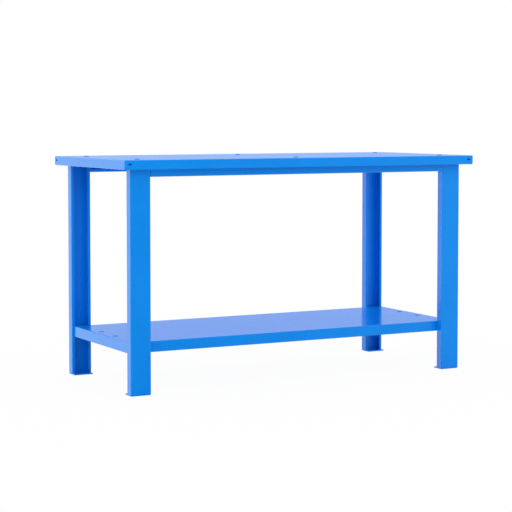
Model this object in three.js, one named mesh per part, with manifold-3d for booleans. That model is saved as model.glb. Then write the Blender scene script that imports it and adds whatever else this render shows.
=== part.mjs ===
// Assembly table: a workshop table of folded steel sheet on four lipped channel legs, with a lower shelf.
// Millimetres, +Z up. X runs along the length, left to right, and Y from the front (-) to the back (+).
// The origin lies on the floor, under the middle of the table top.

import * as THREE from 'three';
import { mergeVertices } from 'three/addons/utils/BufferGeometryUtils.js';
import Module from 'manifold-3d';

const wasm = await Module();
wasm.setup();

// Table top: a tray of sheet folded down all round, with a narrow return along the lower edge.
const TOP_LENGTH = 1500;
const TOP_DEPTH = 680;
const TABLE_HEIGHT = 850;
const FASCIA_HEIGHT = 35;
const TOP_RETURN = 15;
const TOP_SHEET = 2;

// One hanging slot near each corner of the top: in the front fascia at both ends, and in the two side
// fascias at the back.
const SLOT_LENGTH = 14;
const SLOT_WIDTH = 7;
const SLOT_FROM_CORNER = 21;
const SLOT_BELOW_TOP = 15.5;

// Domed bolts hold the top down at the ends and in the middle, set in from its front and back edges. Each
// head stands in a shallow seat that is a little wider than the head.
const TOP_BOLT_FROM_SIDE = 100;
const BOLT_SEAT_DEPTH = 0.3;
const BOLT_SEAT_MARGIN = 1;

// Hat sections welded under the top, from the front rail to the back rail.
const STIFFENER_DEPTH = 28;
const STIFFENER_CROWN = 44;
const STIFFENER_BRIM = 18;

// Legs: channels with inward lips, the web outward, set in from the edges of the top.
const LEG_WIDTH = 80;
const LEG_DEPTH = 35;
const LEG_LIP = 12;
const LEG_SHEET = 2;
const OVERHANG_END = 38;
const OVERHANG_SIDE = 40;

// Front and back rails: lipped channels flush with the legs, bolted between them.
const RAIL_HEIGHT = 60;
const RAIL_LIP = 12;
const RAIL_SHEET = 2;
const END_PLATE = 4;

// Cross rails join the front and back leg of each end: one close under the top, one under the shelf. A
// third one under the middle of the top joins the front and back rails.
const CROSS_RAIL_SHEET = 2;
const UPPER_RAIL_HEIGHT = 26;
const LOWER_RAIL_HEIGHT = 30;

// Plates at the ends of the legs. The foot plate reaches in past the lips of the leg, and the cap plate
// reaches in past the bolt of the table top.
const FOOT_PLATE = 4;
const FOOT_REACH = 20;
const CAP_PLATE = 4;
const CAP_PAST_BOLT = 17;
const PLATE_INSET = 1;
const PLATE_CORNER = 3;

// Shelf: a tray between the legs, laid over the lower cross rails and bolted down to them.
const SHELF_HEIGHT = 190;
const SHELF_FLANGE = 40;
const SHELF_RETURN = 12;
const SHELF_SHEET = 1.5;
const SHELF_END_CLEARANCE = 2.8;
const SHELF_BOLT_PITCH = 134;
const NOTCH_CLEARANCE = 1;

// Fasteners, all of one thread size.
const BOLT_DIAMETER = 8;
const HOLE_CLEARANCE = 0.5;
const HEX_ACROSS = 13;
const HEX_HEAD_HEIGHT = 5.3;
const NUT_HEIGHT = 6.5;
const DOME_DIAMETER = 20;
const DOME_HEIGHT = 4.5;
const BOLT_END = 2.5;

// Folds and fits: the inside radius of every fold, the gap between pieces that touch and the gap of a
// mitre, then the steps of a fold's arc and of a round hole.
const BEND = 1.5;
const SEAM = 0.3;
const MITRE_GAP = 1;
const ARC_STEPS = 4;
const ROUND_STEPS = 16;

// Places that several pieces share
const LEFT_RIGHT = { left: -1, right: 1 };
const FRONT_BACK = { front: -1, back: 1 };
const legCentreX = TOP_LENGTH / 2 - OVERHANG_END - LEG_WIDTH / 2;
const legFaceY = TOP_DEPTH / 2 - OVERHANG_SIDE;
const underTop = TABLE_HEIGHT - TOP_SHEET - SEAM;
const legBottom = FOOT_PLATE + SEAM;
const legTop = underTop - CAP_PLATE - SEAM;
const railLength = 2 * (legCentreX - LEG_WIDTH / 2 - SEAM);
const railCentreZ = underTop - RAIL_HEIGHT / 2;
const crossRailWidth = LEG_WIDTH - 2 * LEG_LIP - 2 * SEAM;
const crossRailLength = 2 * (legFaceY - LEG_SHEET - SEAM);
const lowerRailTop = SHELF_HEIGHT - SHELF_SHEET - SEAM;
const shelfLength = 2 * (legCentreX + crossRailWidth / 2 + SHELF_END_CLEARANCE + SHELF_SHEET);
const shelfDepth = 2 * (legFaceY - LEG_DEPTH - SEAM);
const looseHole = BOLT_DIAMETER / 2 + HOLE_CLEARANCE;
const topBoltX = legCentreX - crossRailWidth / 4;
const topBoltY = TOP_DEPTH / 2 - TOP_BOLT_FROM_SIDE;
const topSeatZ = TABLE_HEIGHT - BOLT_SEAT_DEPTH;

// Solids and booleans

/** Turns a closed geometry into a solid for joining and cutting. */
function solid(geometry) {
  geometry.deleteAttribute('normal');
  geometry.deleteAttribute('uv');
  const merged = mergeVertices(geometry, 1e-4);
  return new wasm.Manifold(new wasm.Mesh({
    numProp: 3,
    vertProperties: new Float32Array(merged.attributes.position.array),
    triVerts: new Uint32Array(merged.index.array),
  }));
}

/** Turns a solid back into a geometry. */
function geometryOf(body) {
  const mesh = body.getMesh();
  const geometry = new THREE.BufferGeometry();
  geometry.setAttribute('position', new THREE.BufferAttribute(mesh.vertProperties, mesh.numProp));
  geometry.setIndex(new THREE.BufferAttribute(mesh.triVerts, 1));
  geometry.computeVertexNormals();
  return geometry;
}

/** A section carried along x, y or z, centred there. Along x it is drawn in (y, z), along y in (x, z). */
function prism(shape, length, axis = 'z') {
  const geometry = new THREE.ExtrudeGeometry(shape, {
    depth: length,
    bevelEnabled: false,
    curveSegments: ROUND_STEPS / 2,
  });
  geometry.translate(0, 0, -length / 2);
  if (axis === 'x') {
    geometry.rotateX(Math.PI / 2).rotateZ(Math.PI / 2);
  }
  if (axis === 'y') {
    geometry.rotateX(Math.PI / 2);
  }
  return geometry;
}

/** A plain block, used as a cutter, given its size and centre. */
function block(size, centre) {
  return solid(new THREE.BoxGeometry(...size).translate(...centre));
}

/** A round pin, used as a cutter or a shank, along one axis and centred on a point. */
function pin(radius, length, axis, centre) {
  const disc = new THREE.Shape().absarc(0, 0, radius, 0, 2 * Math.PI);
  return solid(prism(disc, length, axis).translate(...centre));
}

// Sections

/** The corners of a path turned into arcs, one radius to a corner. An open path keeps its two ends. */
function roundCorners(points, radii, closed) {
  const count = points.length;
  return points.flatMap((corner, i) => {
    const isEnd = !closed && (i === 0 || i === count - 1);
    if (isEnd || radii[i] === 0) {
      return [corner];
    }
    const back = points[(i + count - 1) % count].clone().sub(corner).normalize();
    const ahead = points[(i + 1) % count].clone().sub(corner).normalize();
    const half = Math.acos(back.dot(ahead)) / 2;
    const middle = back.clone().add(ahead).normalize();
    const centre = middle.clone().multiplyScalar(radii[i] / Math.sin(half)).add(corner);
    const turn = Math.sign(ahead.cross(back)) * (Math.PI / 2 - half);
    return Array.from({ length: ARC_STEPS + 1 }, (_, step) => {
      const angle = turn * (1 - 2 * step / ARC_STEPS);
      const spoke = middle.clone().negate().rotateAround(new THREE.Vector2(), -angle);
      return spoke.multiplyScalar(radii[i]).add(centre);
    });
  });
}

/** A rectangle about the origin with its own radius at the upper and at the lower corners. */
function roundedRectangle(width, height, upper, lower = upper) {
  const corners = [[-1, -1], [1, -1], [1, 1], [-1, 1]];
  const points = corners.map(([x, y]) => new THREE.Vector2(x * width / 2, y * height / 2));
  return new THREE.Shape(roundCorners(points, [lower, lower, upper, upper], true));
}

/** A slot with round ends, long in its first axis. */
function slotShape(length, width) {
  const run = (length - width) / 2;
  return new THREE.Shape()
    .absarc(run, 0, width / 2, -Math.PI / 2, Math.PI / 2)
    .absarc(-run, 0, width / 2, Math.PI / 2, 3 * Math.PI / 2);
}

/** A regular hexagon, by its width across flats. */
function hexagon(across) {
  const reach = across / Math.sqrt(3);
  const corners = Array.from({ length: 6 }, (_, i) => i * Math.PI / 3);
  return new THREE.Shape(corners.map((a) => new THREE.Vector2(reach * Math.cos(a), reach * Math.sin(a))));
}

/** The section of a sheet folded along a path. The path is one face, and the sheet lies on its left. */
function foldedSection(path, sheet) {
  const face = path.map(([x, y]) => new THREE.Vector2(x, y));
  const runs = face.slice(1).map((point, i) => point.clone().sub(face[i]).normalize());
  const leftOf = (run) => new THREE.Vector2(-run.y, run.x);
  const reverse = face.map((point, i) => {
    const before = leftOf(runs[Math.max(i - 1, 0)]);
    const after = leftOf(runs[Math.min(i, runs.length - 1)]);
    const mitre = before.clone().add(after).divideScalar(1 + before.dot(after));
    return mitre.multiplyScalar(sheet).add(point);
  });
  const turnsLeft = face.map((_, i) => i > 0 && i < runs.length && runs[i - 1].cross(runs[i]) > 0);
  const faceRadii = turnsLeft.map((left) => (left ? BEND + sheet : BEND));
  const reverseRadii = turnsLeft.map((left) => (left ? BEND : BEND + sheet));
  const there = roundCorners(face, faceRadii, false);
  const back = roundCorners(reverse, reverseRadii, false).reverse();
  return new THREE.Shape([...there, ...back]);
}

/** A channel with inward lips: the outer face of its web lies on y = 0, and it opens towards +y. */
function lippedChannel(width, depth, lip, sheet) {
  const half = width / 2;
  const tip = half - lip;
  const outside = [[-tip, depth], [-half, depth], [-half, 0], [half, 0], [half, depth], [tip, depth]];
  return foldedSection(outside, sheet);
}

/** A plain channel without lips, its web on y = 0, opening towards +y. */
function plainChannel(width, depth, sheet) {
  const half = width / 2;
  return foldedSection([[-half, depth], [-half, 0], [half, 0], [half, depth]], sheet);
}

/** A hat section hanging from y = 0, with its two brims flat against that line. */
function hatSection(crown, depth, brim, sheet) {
  const half = crown / 2 - sheet;
  const floor = sheet - depth;
  const edge = half + brim;
  const inside = [[edge, 0], [half, 0], [half, floor], [-half, floor], [-half, 0], [-edge, 0]];
  return foldedSection(inside, sheet);
}

// Folded trays

/** A block with rounded edges, as three crossed sections. The lower edges have radii of their own. */
function roundedBlock(length, depth, height, radius, endFoot, sideFoot) {
  const span = length + depth;
  const side = solid(prism(roundedRectangle(length, height, radius, endFoot), span, 'y'));
  const end = solid(prism(roundedRectangle(depth, height, radius, sideFoot), span, 'x'));
  const plan = solid(prism(roundedRectangle(length, depth, radius), span, 'z'));
  return side.intersect(end).intersect(plan);
}

/** A tray of sheet folded down on four sides, open below, about its own middle. A return of zero leaves a
 *  plain edge, and where two returns meet they are mitred. */
function foldedTray(length, depth, height, sheet, endReturn, sideReturn) {
  const outer = BEND + sheet;
  const footRadius = (width) => (width > 0 ? outer : 0);
  const [endFoot, sideFoot] = [footRadius(endReturn), footRadius(sideReturn)];
  const outside = roundedBlock(length, depth, height, outer, endFoot, sideFoot);
  const hollow = roundedBlock(length - 2 * sheet, depth - 2 * sheet, height - 2 * sheet, BEND, BEND, BEND);
  const mouthLength = length - 2 * Math.max(endReturn, sheet);
  const mouthDepth = depth - 2 * Math.max(sideReturn, sheet);
  const mouth = block([mouthLength, mouthDepth, height], [0, 0, -height / 2]);
  let tray = outside.subtract(hollow).subtract(mouth);
  if (endReturn > 0 && sideReturn > 0) {
    const reach = Math.max(endReturn, sideReturn) - outer;
    const slit = new THREE.BoxGeometry(2 * Math.SQRT2 * reach, MITRE_GAP, 4 * sheet);
    for (const [x, y] of [[-1, -1], [1, -1], [1, 1], [-1, 1]]) {
      const cutter = slit.clone().rotateZ(x * y * Math.PI / 4);
      cutter.translate(x * mouthLength / 2, y * mouthDepth / 2, -height / 2);
      tray = tray.subtract(solid(cutter));
    }
  }
  return tray;
}

/** The table top, with its hanging slots and bolt holes. */
function tableTop() {
  let tray = foldedTray(TOP_LENGTH, TOP_DEPTH, FASCIA_HEIGHT, TOP_SHEET, TOP_RETURN, TOP_RETURN);
  const slotZ = FASCIA_HEIGHT / 2 - SLOT_BELOW_TOP;
  const slot = slotShape(SLOT_LENGTH, SLOT_WIDTH);
  for (const x of Object.values(LEFT_RIGHT)) {
    const along = x * (TOP_LENGTH / 2 - SLOT_FROM_CORNER);
    const inFront = prism(slot, 4 * TOP_SHEET, 'y').translate(along, -TOP_DEPTH / 2, slotZ);
    const atSide = prism(slot, 4 * TOP_SHEET, 'x');
    atSide.translate(x * TOP_LENGTH / 2, TOP_DEPTH / 2 - SLOT_FROM_CORNER, slotZ);
    tray = tray.subtract(solid(inFront)).subtract(solid(atSide));
  }
  const seat = DOME_DIAMETER / 2 + BOLT_SEAT_MARGIN;
  for (const x of [-topBoltX, 0, topBoltX]) {
    for (const y of [-topBoltY, topBoltY]) {
      const place = [x, y, FASCIA_HEIGHT / 2];
      tray = tray.subtract(pin(looseHole, 4 * TOP_SHEET, 'z', place));
      tray = tray.subtract(pin(seat, 2 * BOLT_SEAT_DEPTH, 'z', place));
    }
  }
  return tray;
}

/** The shelf, notched at its corners where the cross rails pass, with its four bolt holes. */
function shelfTray() {
  let tray = foldedTray(shelfLength, shelfDepth, SHELF_FLANGE, SHELF_SHEET, 0, SHELF_RETURN);
  const notchWidth = crossRailWidth + 2 * NOTCH_CLEARANCE;
  const notchDepth = 2 * (SHELF_RETURN + NOTCH_CLEARANCE);
  for (const x of Object.values(LEFT_RIGHT)) {
    for (const y of Object.values(FRONT_BACK)) {
      const notchAt = [x * legCentreX, y * shelfDepth / 2, -SHELF_SHEET];
      tray = tray.subtract(block([notchWidth, notchDepth, SHELF_FLANGE], notchAt));
      const boltAt = [x * legCentreX, y * SHELF_BOLT_PITCH / 2, SHELF_FLANGE / 2];
      tray = tray.subtract(pin(looseHole, 4 * SHELF_SHEET, 'z', boltAt));
    }
  }
  return tray;
}

// Legs, rails and plates

/** A leg standing on z = 0, its web on y = 0, bored for the rail bolts in the flange on the inner side. */
function leg(inner) {
  const height = legTop - legBottom;
  const section = lippedChannel(LEG_WIDTH, LEG_DEPTH, LEG_LIP, LEG_SHEET);
  let body = solid(prism(section, height).translate(0, 0, height / 2));
  for (const place of railBoltPlaces()) {
    const flangeAt = [inner * LEG_WIDTH / 2, LEG_DEPTH / 2, railCentreZ + place - legBottom];
    body = body.subtract(pin(looseHole, 4 * LEG_SHEET, 'x', flangeAt));
  }
  return body;
}

/** The two bolts at a rail's end, as heights from the middle of the rail: a quarter of it up and down. */
function railBoltPlaces() {
  return [-RAIL_HEIGHT / 4, RAIL_HEIGHT / 4];
}

/** A front or back rail along x, its web on y = 0. */
function rail() {
  const section = lippedChannel(RAIL_HEIGHT, LEG_DEPTH, RAIL_LIP, RAIL_SHEET);
  return solid(prism(section, railLength).rotateY(Math.PI / 2));
}

/** The plate welded into a rail's end, its outer face on x = 0, with two nuts welded on behind it. */
function railEndPlate(inward) {
  const depth = LEG_DEPTH - 2 * (RAIL_SHEET + SEAM);
  const height = RAIL_HEIGHT - 2 * (RAIL_SHEET + SEAM);
  const plate = prism(roundedRectangle(depth, height, BEND), END_PLATE, 'x');
  let body = solid(plate.translate(inward * END_PLATE / 2, LEG_DEPTH / 2, 0));
  const nutLength = END_PLATE / 2 + NUT_HEIGHT;
  const nutMiddle = inward * (END_PLATE / 2 + nutLength / 2);
  for (const place of railBoltPlaces()) {
    const nut = prism(hexagon(HEX_ACROSS), nutLength, 'x').translate(nutMiddle, LEG_DEPTH / 2, place);
    const bore = pin(BOLT_DIAMETER / 2 + SEAM, 4 * nutLength, 'x', [nutMiddle, LEG_DEPTH / 2, place]);
    body = body.add(solid(nut)).subtract(bore);
  }
  return body;
}

/** A cross rail along y, its web uppermost on z = 0, bored through the web for a bolt near each end. */
function crossRail(length, height, boltX, boltY) {
  const section = plainChannel(crossRailWidth, height, CROSS_RAIL_SHEET);
  let body = solid(prism(section, length).rotateX(-Math.PI / 2));
  for (const y of [-boltY, boltY]) {
    body = body.subtract(pin(looseHole, 4 * CROSS_RAIL_SHEET, 'z', [boltX, y, 0]));
  }
  return body;
}

/** A plate under a leg, its upper face on z = 0, reaching in past the lips. */
function footPlate() {
  const depth = LEG_DEPTH - PLATE_INSET + FOOT_REACH;
  const plate = roundedRectangle(LEG_WIDTH - 2 * PLATE_INSET, depth, PLATE_CORNER);
  return solid(prism(plate, FOOT_PLATE).translate(0, PLATE_INSET + depth / 2, -FOOT_PLATE / 2));
}

/** The plate on top of a leg, standing on z = 0, reaching in past the bolt of the table top. */
function capPlate(inner) {
  const boltAt = [inner * (legCentreX - topBoltX), legFaceY - topBoltY, 0];
  const depth = legFaceY - topBoltY + CAP_PAST_BOLT - PLATE_INSET;
  const plate = roundedRectangle(LEG_WIDTH - 2 * PLATE_INSET, depth, PLATE_CORNER);
  const body = solid(prism(plate, CAP_PLATE).translate(0, PLATE_INSET + depth / 2, CAP_PLATE / 2));
  return body.subtract(pin(looseHole, 4 * CAP_PLATE, 'z', boltAt));
}

// Fasteners

/** A hexagon bolt: the head stands on z = 0 and the shank runs down from it. */
function hexBolt(length) {
  const head = solid(prism(hexagon(HEX_ACROSS), HEX_HEAD_HEIGHT).translate(0, 0, HEX_HEAD_HEIGHT / 2));
  const shankLength = length + HEX_HEAD_HEIGHT / 2;
  return head.add(pin(BOLT_DIAMETER / 2, shankLength, 'z', [0, 0, shankLength / 2 - length]));
}

/** A bolt with a low domed head: an arc turned about the axis, with the shank below z = 0. */
function domeBolt(length) {
  const rim = DOME_DIAMETER / 2;
  const sphere = (rim * rim + DOME_HEIGHT * DOME_HEIGHT) / (2 * DOME_HEIGHT);
  const sweep = Math.asin(rim / sphere);
  const dome = Array.from({ length: ARC_STEPS }, (_, step) => {
    const angle = sweep * (1 - step / ARC_STEPS);
    return new THREE.Vector2(sphere * Math.sin(angle), sphere * Math.cos(angle) - sphere + DOME_HEIGHT);
  });
  const shank = BOLT_DIAMETER / 2;
  const stem = [[0, -length], [shank, -length], [shank, 0]].map(([r, z]) => new THREE.Vector2(r, z));
  const profile = [...stem, ...dome, new THREE.Vector2(0, DOME_HEIGHT)];
  return solid(new THREE.LatheGeometry(profile, ROUND_STEPS).rotateX(Math.PI / 2));
}

/** A hexagon nut hanging below z = 0. */
function hexNut() {
  const nut = solid(prism(hexagon(HEX_ACROSS), NUT_HEIGHT).translate(0, 0, -NUT_HEIGHT / 2));
  return nut.subtract(pin(BOLT_DIAMETER / 2 + SEAM, 4 * NUT_HEIGHT, 'z', [0, 0, 0]));
}

// Finishes

const bluePaint = () => new THREE.MeshStandardMaterial({ color: 0x148ae6, roughness: 0.3, metalness: 0.1 });
const zinc = () => new THREE.MeshStandardMaterial({ color: 0xb9bec4, roughness: 0.35, metalness: 0.9 });

// The table, put together

/** Adds a solid to a group as a named mesh and returns the mesh. */
function addPiece(group, name, body, material, position = [0, 0, 0]) {
  const mesh = new THREE.Mesh(geometryOf(body), material());
  mesh.name = name;
  mesh.position.set(...position);
  group.add(mesh);
  return mesh;
}

/** A painted domed bolt with its head on a sheet's face, and the nut under the rail that it holds. */
function addDomeBolt(kind, place, x, y, faceZ, nutZ) {
  const headZ = faceZ + SEAM;
  const length = headZ - nutZ + NUT_HEIGHT + BOLT_END;
  addPiece(table, `${kind}_bolt_${place}`, domeBolt(length), bluePaint, [x, y, headZ]);
  addPiece(table, `${kind}_nut_${place}`, hexNut(), zinc, [x, y, nutZ]);
}

/** A group placed in the table, turned half round where it belongs to the back. */
function station(parent, position, atBack) {
  const group = new THREE.Group();
  group.position.set(...position);
  group.rotation.z = atBack ? Math.PI : 0;
  parent.add(group);
  return group;
}

const table = new THREE.Group();
table.name = 'assembly_table';

addPiece(table, 'top_panel', tableTop(), bluePaint, [0, 0, TABLE_HEIGHT - FASCIA_HEIGHT / 2]);

// Under the top: a cross rail in the middle, and a stiffener halfway to each end of the long rails.
const betweenRails = 2 * (legFaceY - LEG_DEPTH - SEAM);
const middleRail = crossRail(betweenRails, UPPER_RAIL_HEIGHT, 0, topBoltY);
addPiece(table, 'upper_cross_rail_middle', middleRail, bluePaint, [0, 0, underTop]);
const hat = hatSection(STIFFENER_CROWN, STIFFENER_DEPTH, STIFFENER_BRIM, TOP_SHEET);
for (const [sideName, side] of Object.entries(LEFT_RIGHT)) {
  const stiffener = solid(prism(hat, betweenRails, 'y'));
  addPiece(table, `top_stiffener_${sideName}`, stiffener, bluePaint, [side * railLength / 4, 0, underTop]);
}

addPiece(table, 'shelf_panel', shelfTray(), bluePaint, [0, 0, SHELF_HEIGHT - SHELF_FLANGE / 2]);
const shelfHat = hatSection(STIFFENER_CROWN, STIFFENER_DEPTH, STIFFENER_BRIM, SHELF_SHEET);
const shelfHatLength = 2 * (legCentreX - crossRailWidth / 2 - SEAM);
const shelfStiffener = solid(prism(shelfHat, shelfHatLength, 'y').rotateZ(Math.PI / 2));
addPiece(table, 'shelf_stiffener', shelfStiffener, bluePaint, [0, 0, lowerRailTop]);

// Nuts hang under the webs of the cross rails. At the ends of the top a cap plate lies above the web.
const endNutZ = legTop - CROSS_RAIL_SHEET - SEAM;
const middleNutZ = underTop - CROSS_RAIL_SHEET - SEAM;
const shelfNutZ = lowerRailTop - CROSS_RAIL_SHEET - SEAM;
const railBoltLength = 2 * SEAM + LEG_SHEET + END_PLATE + NUT_HEIGHT + BOLT_END;

for (const [sideName, side] of Object.entries(LEFT_RIGHT)) {
  const boltX = side * (topBoltX - legCentreX);
  const upperRail = crossRail(crossRailLength, UPPER_RAIL_HEIGHT, boltX, topBoltY);
  addPiece(table, `upper_cross_rail_${sideName}`, upperRail, bluePaint, [side * legCentreX, 0, legTop]);
  const lowerRail = crossRail(crossRailLength, LOWER_RAIL_HEIGHT, 0, SHELF_BOLT_PITCH / 2);
  const lowerRailAt = [side * legCentreX, 0, lowerRailTop];
  addPiece(table, `lower_cross_rail_${sideName}`, lowerRail, bluePaint, lowerRailAt);
}

for (const [rowName, row] of Object.entries(FRONT_BACK)) {
  const atBack = row > 0;
  const railStation = station(table, [0, row * legFaceY, railCentreZ], atBack);
  addPiece(railStation, `${rowName}_rail`, rail(), bluePaint);
  addDomeBolt('top', `${rowName}_middle`, 0, row * topBoltY, topSeatZ, middleNutZ);

  for (const [sideName, side] of Object.entries(LEFT_RIGHT)) {
    const corner = `${rowName}_${sideName}`;
    const inner = side * row;
    const endPlate = railEndPlate(inner);
    addPiece(railStation, `rail_end_plate_${corner}`, endPlate, bluePaint, [-inner * railLength / 2, 0, 0]);

    const legStation = station(table, [side * legCentreX, row * legFaceY, 0], atBack);
    addPiece(legStation, `leg_${corner}`, leg(inner), bluePaint, [0, 0, legBottom]);
    addPiece(legStation, `foot_plate_${corner}`, footPlate(), bluePaint, [0, 0, FOOT_PLATE]);
    addPiece(legStation, `leg_cap_plate_${corner}`, capPlate(inner), bluePaint, [0, 0, legTop + SEAM]);

    railBoltPlaces().forEach((place, i) => {
      const seat = [inner * (LEG_WIDTH / 2 - LEG_SHEET - SEAM), LEG_DEPTH / 2, railCentreZ + place];
      const level = i === 0 ? 'lower' : 'upper';
      const boltName = `rail_bolt_${corner}_${level}`;
      const bolt = addPiece(legStation, boltName, hexBolt(railBoltLength), zinc, seat);
      bolt.rotation.y = -inner * Math.PI / 2;
    });

    addDomeBolt('top', corner, side * topBoltX, row * topBoltY, topSeatZ, endNutZ);
    const shelfBoltY = row * SHELF_BOLT_PITCH / 2;
    addDomeBolt('shelf', corner, side * legCentreX, shelfBoltY, SHELF_HEIGHT, shelfNutZ);
  }
}

export default table;
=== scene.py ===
"""Looks of the assembly table: folded sheet steel, plates, welds and fasteners under a glossy blue coat.

Metres, +Z up. X runs along the length, left to right, and Y from the front (-) to the back (+). The pieces
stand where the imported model's nodes stand, and every one of them rides on the table's single body.
"""

import logging
import math
from dataclasses import dataclass, field
from enum import Enum
from itertools import product

import bmesh
import bpy
import numpy as np
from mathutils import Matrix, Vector


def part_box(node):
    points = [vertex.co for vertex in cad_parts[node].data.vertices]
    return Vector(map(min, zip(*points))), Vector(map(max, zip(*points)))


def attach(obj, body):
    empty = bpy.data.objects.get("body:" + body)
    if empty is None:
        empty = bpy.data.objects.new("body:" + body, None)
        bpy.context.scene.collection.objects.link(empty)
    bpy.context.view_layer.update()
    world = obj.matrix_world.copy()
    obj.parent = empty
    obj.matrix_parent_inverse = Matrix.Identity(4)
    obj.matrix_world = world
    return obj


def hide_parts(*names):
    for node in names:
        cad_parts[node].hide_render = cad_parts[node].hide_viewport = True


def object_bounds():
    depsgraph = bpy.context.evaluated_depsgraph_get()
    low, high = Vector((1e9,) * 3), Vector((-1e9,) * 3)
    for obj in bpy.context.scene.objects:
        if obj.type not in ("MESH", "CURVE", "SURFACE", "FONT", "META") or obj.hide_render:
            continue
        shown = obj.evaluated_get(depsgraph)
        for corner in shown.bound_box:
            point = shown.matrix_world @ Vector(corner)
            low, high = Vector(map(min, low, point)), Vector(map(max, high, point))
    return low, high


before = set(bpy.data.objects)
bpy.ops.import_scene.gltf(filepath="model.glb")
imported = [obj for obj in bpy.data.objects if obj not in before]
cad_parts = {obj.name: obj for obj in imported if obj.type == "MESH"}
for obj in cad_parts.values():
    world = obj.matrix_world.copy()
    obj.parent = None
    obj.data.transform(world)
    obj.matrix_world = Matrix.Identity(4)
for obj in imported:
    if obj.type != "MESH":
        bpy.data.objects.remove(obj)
CAD_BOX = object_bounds()

LOG = logging.getLogger("assembly_table")
BODY = "root"
PHOTO_SIZE = 512
MERGE_DISTANCE = 1e-6
Array = np.ndarray

# Sizes, angles and directions that several classes share
SHEET = 0.002
SHELF_SHEET = 0.0015
BEND = 0.0015
LIP = 0.012
BOLT_HOLE = 0.0045
PLATE_RIM = 0.0006
WELD_ANGLE = 60.0
ARC_STEPS = 8
QUARTER = np.linspace(0, np.pi / 2, ARC_STEPS + 1)
UP = (0, 0, 1)


class Sign(Enum):
    """A side of the table, as the sign of an axis."""

    @property
    def word(self) -> str:
        """Its name in small letters."""
        return self.name.lower()

    def outer(self, low: float, high: float) -> float:
        """The one of two places that lies further out on this side."""
        return high if self.value > 0 else low

    def inner(self, low: float, high: float) -> float:
        """The one of two places that lies nearer the middle of the table."""
        return low if self.value > 0 else high


class Row(Sign):
    """The front and the back of the table, as the sign of Y."""

    FRONT = -1
    BACK = 1


class Side(Sign):
    """The left and the right end of the table, as the sign of X."""

    LEFT = -1
    RIGHT = 1


class Slot(Enum):
    """The record's material slots."""

    PAINT = "blue_powder_coat"
    ZINC = "zinc_plated_steel"


@dataclass(frozen=True)
class Corner:
    """A corner of the table."""

    row: Row
    side: Side

    @property
    def name(self) -> str:
        """Its name, such as front_left."""
        return f"{self.row.word}_{self.side.word}"

    def rail_bolts(self) -> list[Array]:
        """The middles of the two bolts that hold the long rail to the leg."""
        return [middle_of(f"rail_bolt_{self.name}_{level}") for level in ("lower", "upper")]


CORNERS = [Corner(row, side) for row, side in product(Row, Side)]


def box_of(node: str) -> tuple[Array, Array]:
    """The lowest and the highest corner of a node's box."""
    low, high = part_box(node)
    return np.array(low), np.array(high)


def middle_of(node: str) -> Array:
    """The middle of a node's box."""
    return sum(box_of(node)) / 2


# Finishes

Node = bpy.types.Node
Socket = bpy.types.NodeSocket


def grey(level: float) -> tuple:
    """A grey as a linear colour."""
    return level, level, level, 1


class Shader:
    """The nodes of a material or a world, added one by one. A noise usually runs from trough to crest."""

    trough = 0.25
    crest = 0.75

    def __init__(self, owner: bpy.types.Material | bpy.types.World) -> None:
        """Starts an empty node tree.

        Args:
            owner: The material or the world that the nodes belong to.
        """
        owner.use_nodes = True
        self.owner = owner
        self.tree = owner.node_tree
        self.tree.nodes.clear()

    def node(self, kind: str, inputs: dict | None = None, **settings: str) -> Node:
        """Adds a node.

        Args:
            kind: The node's type in Blender.
            inputs: Values of its inputs, or the outputs that they are linked to, by name or number.
            settings: Properties of the node.

        Returns:
            The new node.
        """
        made = self.tree.nodes.new(kind)
        for name, value in settings.items():
            setattr(made, name, value)
        for key, value in (inputs or {}).items():
            if isinstance(value, Socket):
                self.tree.links.new(value, made.inputs[key])
            else:
                made.inputs[key].default_value = value
        return made

    def noise(self, waves: float, octaves: float, low: float = 0.0, high: float = 1.0) -> Socket:
        """A noise in the object's own coordinates, its usual span spread over a range of values.

        Args:
            waves: Waves to the metre.
            octaves: Octaves of finer waves.
            low: The value that the noise falls to.
            high: The value that it rises to.

        Returns:
            The socket that carries the value.
        """
        place = self.node("ShaderNodeTexCoord").outputs["Object"]
        wave = self.node("ShaderNodeTexNoise", {"Vector": place, "Scale": waves, "Detail": octaves})
        spread = {"From Min": self.trough, "From Max": self.crest, "To Min": low, "To Max": high}
        return self.node("ShaderNodeMapRange", {"Value": wave.outputs["Fac"], **spread}).outputs["Result"]

    def blend(self, share: Socket, first: object, second: object) -> Socket:
        """A colour between two others, each a linear colour or a socket, by the share of the second."""
        return self.node("ShaderNodeMix", {0: share, 6: first, 7: second}, data_type="RGBA").outputs[2]

    def ramp(self, value: Socket, stops: tuple) -> Socket:
        """A colour that changes with one part of a direction.

        Args:
            value: The part of the direction, from -1 to 1.
            stops: Pairs of a value and its colour.

        Returns:
            The socket that carries the colour.
        """
        share = self.node("ShaderNodeMapRange", {"Value": value, "From Min": -1.0}).outputs["Result"]
        ramp = self.node("ShaderNodeValToRGB", {"Fac": share})
        elements = ramp.color_ramp.elements
        while len(elements) < len(stops):
            elements.new(0.5)
        for element, (at, colour) in zip(elements, stops):
            element.position = (at + 1) / 2
            element.color = colour
        return ramp.outputs["Color"]

    def finish(self, surface: Socket, kind: str = "ShaderNodeOutputMaterial") -> bpy.types.ID:
        """Joins the last shader to an output of the given kind, and returns the material or the world."""
        self.node(kind, {"Surface": surface})
        return self.owner


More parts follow.
